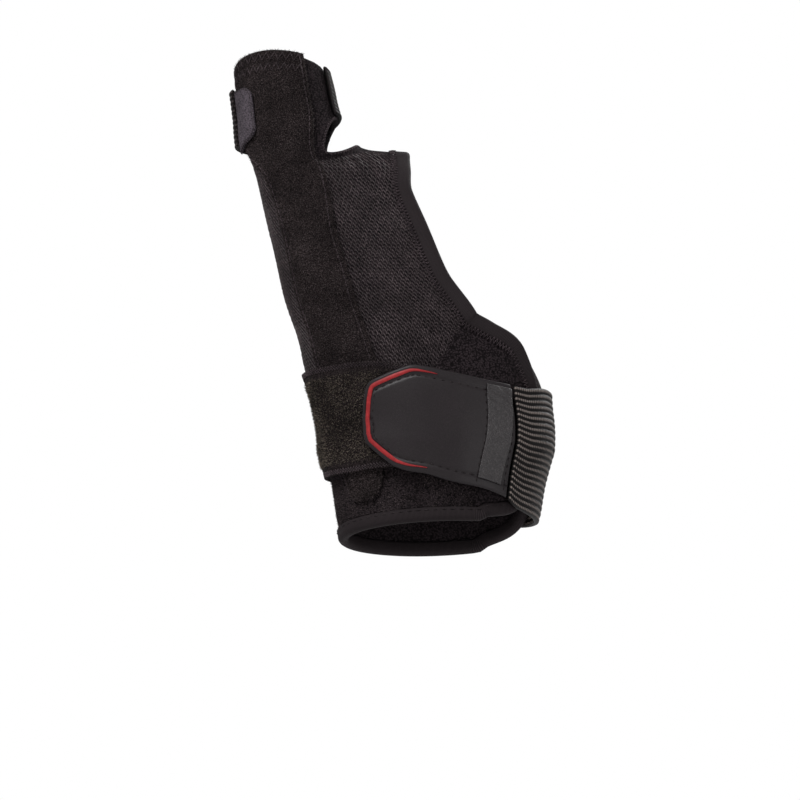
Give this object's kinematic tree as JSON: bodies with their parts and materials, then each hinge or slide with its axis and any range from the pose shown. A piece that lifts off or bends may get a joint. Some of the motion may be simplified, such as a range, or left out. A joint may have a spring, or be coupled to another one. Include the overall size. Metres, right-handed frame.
{
  "type": "thumb spica splint",
  "caption": "Black mesh thumb spica splint for a right hand, in its worn form, with a stay pocket down the thumb, a wrist strap with a leather patch and a small thumb strap.",
  "frame": {"origin": "centre of the hollow for the wrist, at the height of the wrist strap", "axes": "+Z from the forearm towards the thumb's tip, -Y out of the back of the hand, -X towards the thumb side"},
  "size_m": [0.1185, 0.0609, 0.1822],
  "materials": {
    "mesh_cloth": "matte spacer mesh",
    "loop_cloth": "brushed loop pile",
    "binding_tape": "smooth folded tape",
    "elastic_web": "ribbed elastic",
    "hook_tab": "short stiff hooks",
    "synthetic_leather": "fine grain, semi-matte",
    "red_trim": "smooth"
  },
  "bodies": {
    "root": {"body_wrap": "mesh_cloth", "opening_binding": "binding_tape", "cuff_hem": "binding_tape", "stay_pocket": "loop_cloth", "thumb_strap": "elastic_web", "thumb_tab": "hook_tab", "loop_band": "loop_cloth", "elastic_band": "elastic_web", "strap_patch": "synthetic_leather", "patch_piping": "red_trim", "grain_strip": "synthetic_leather"}
  },
  "joints": []
}
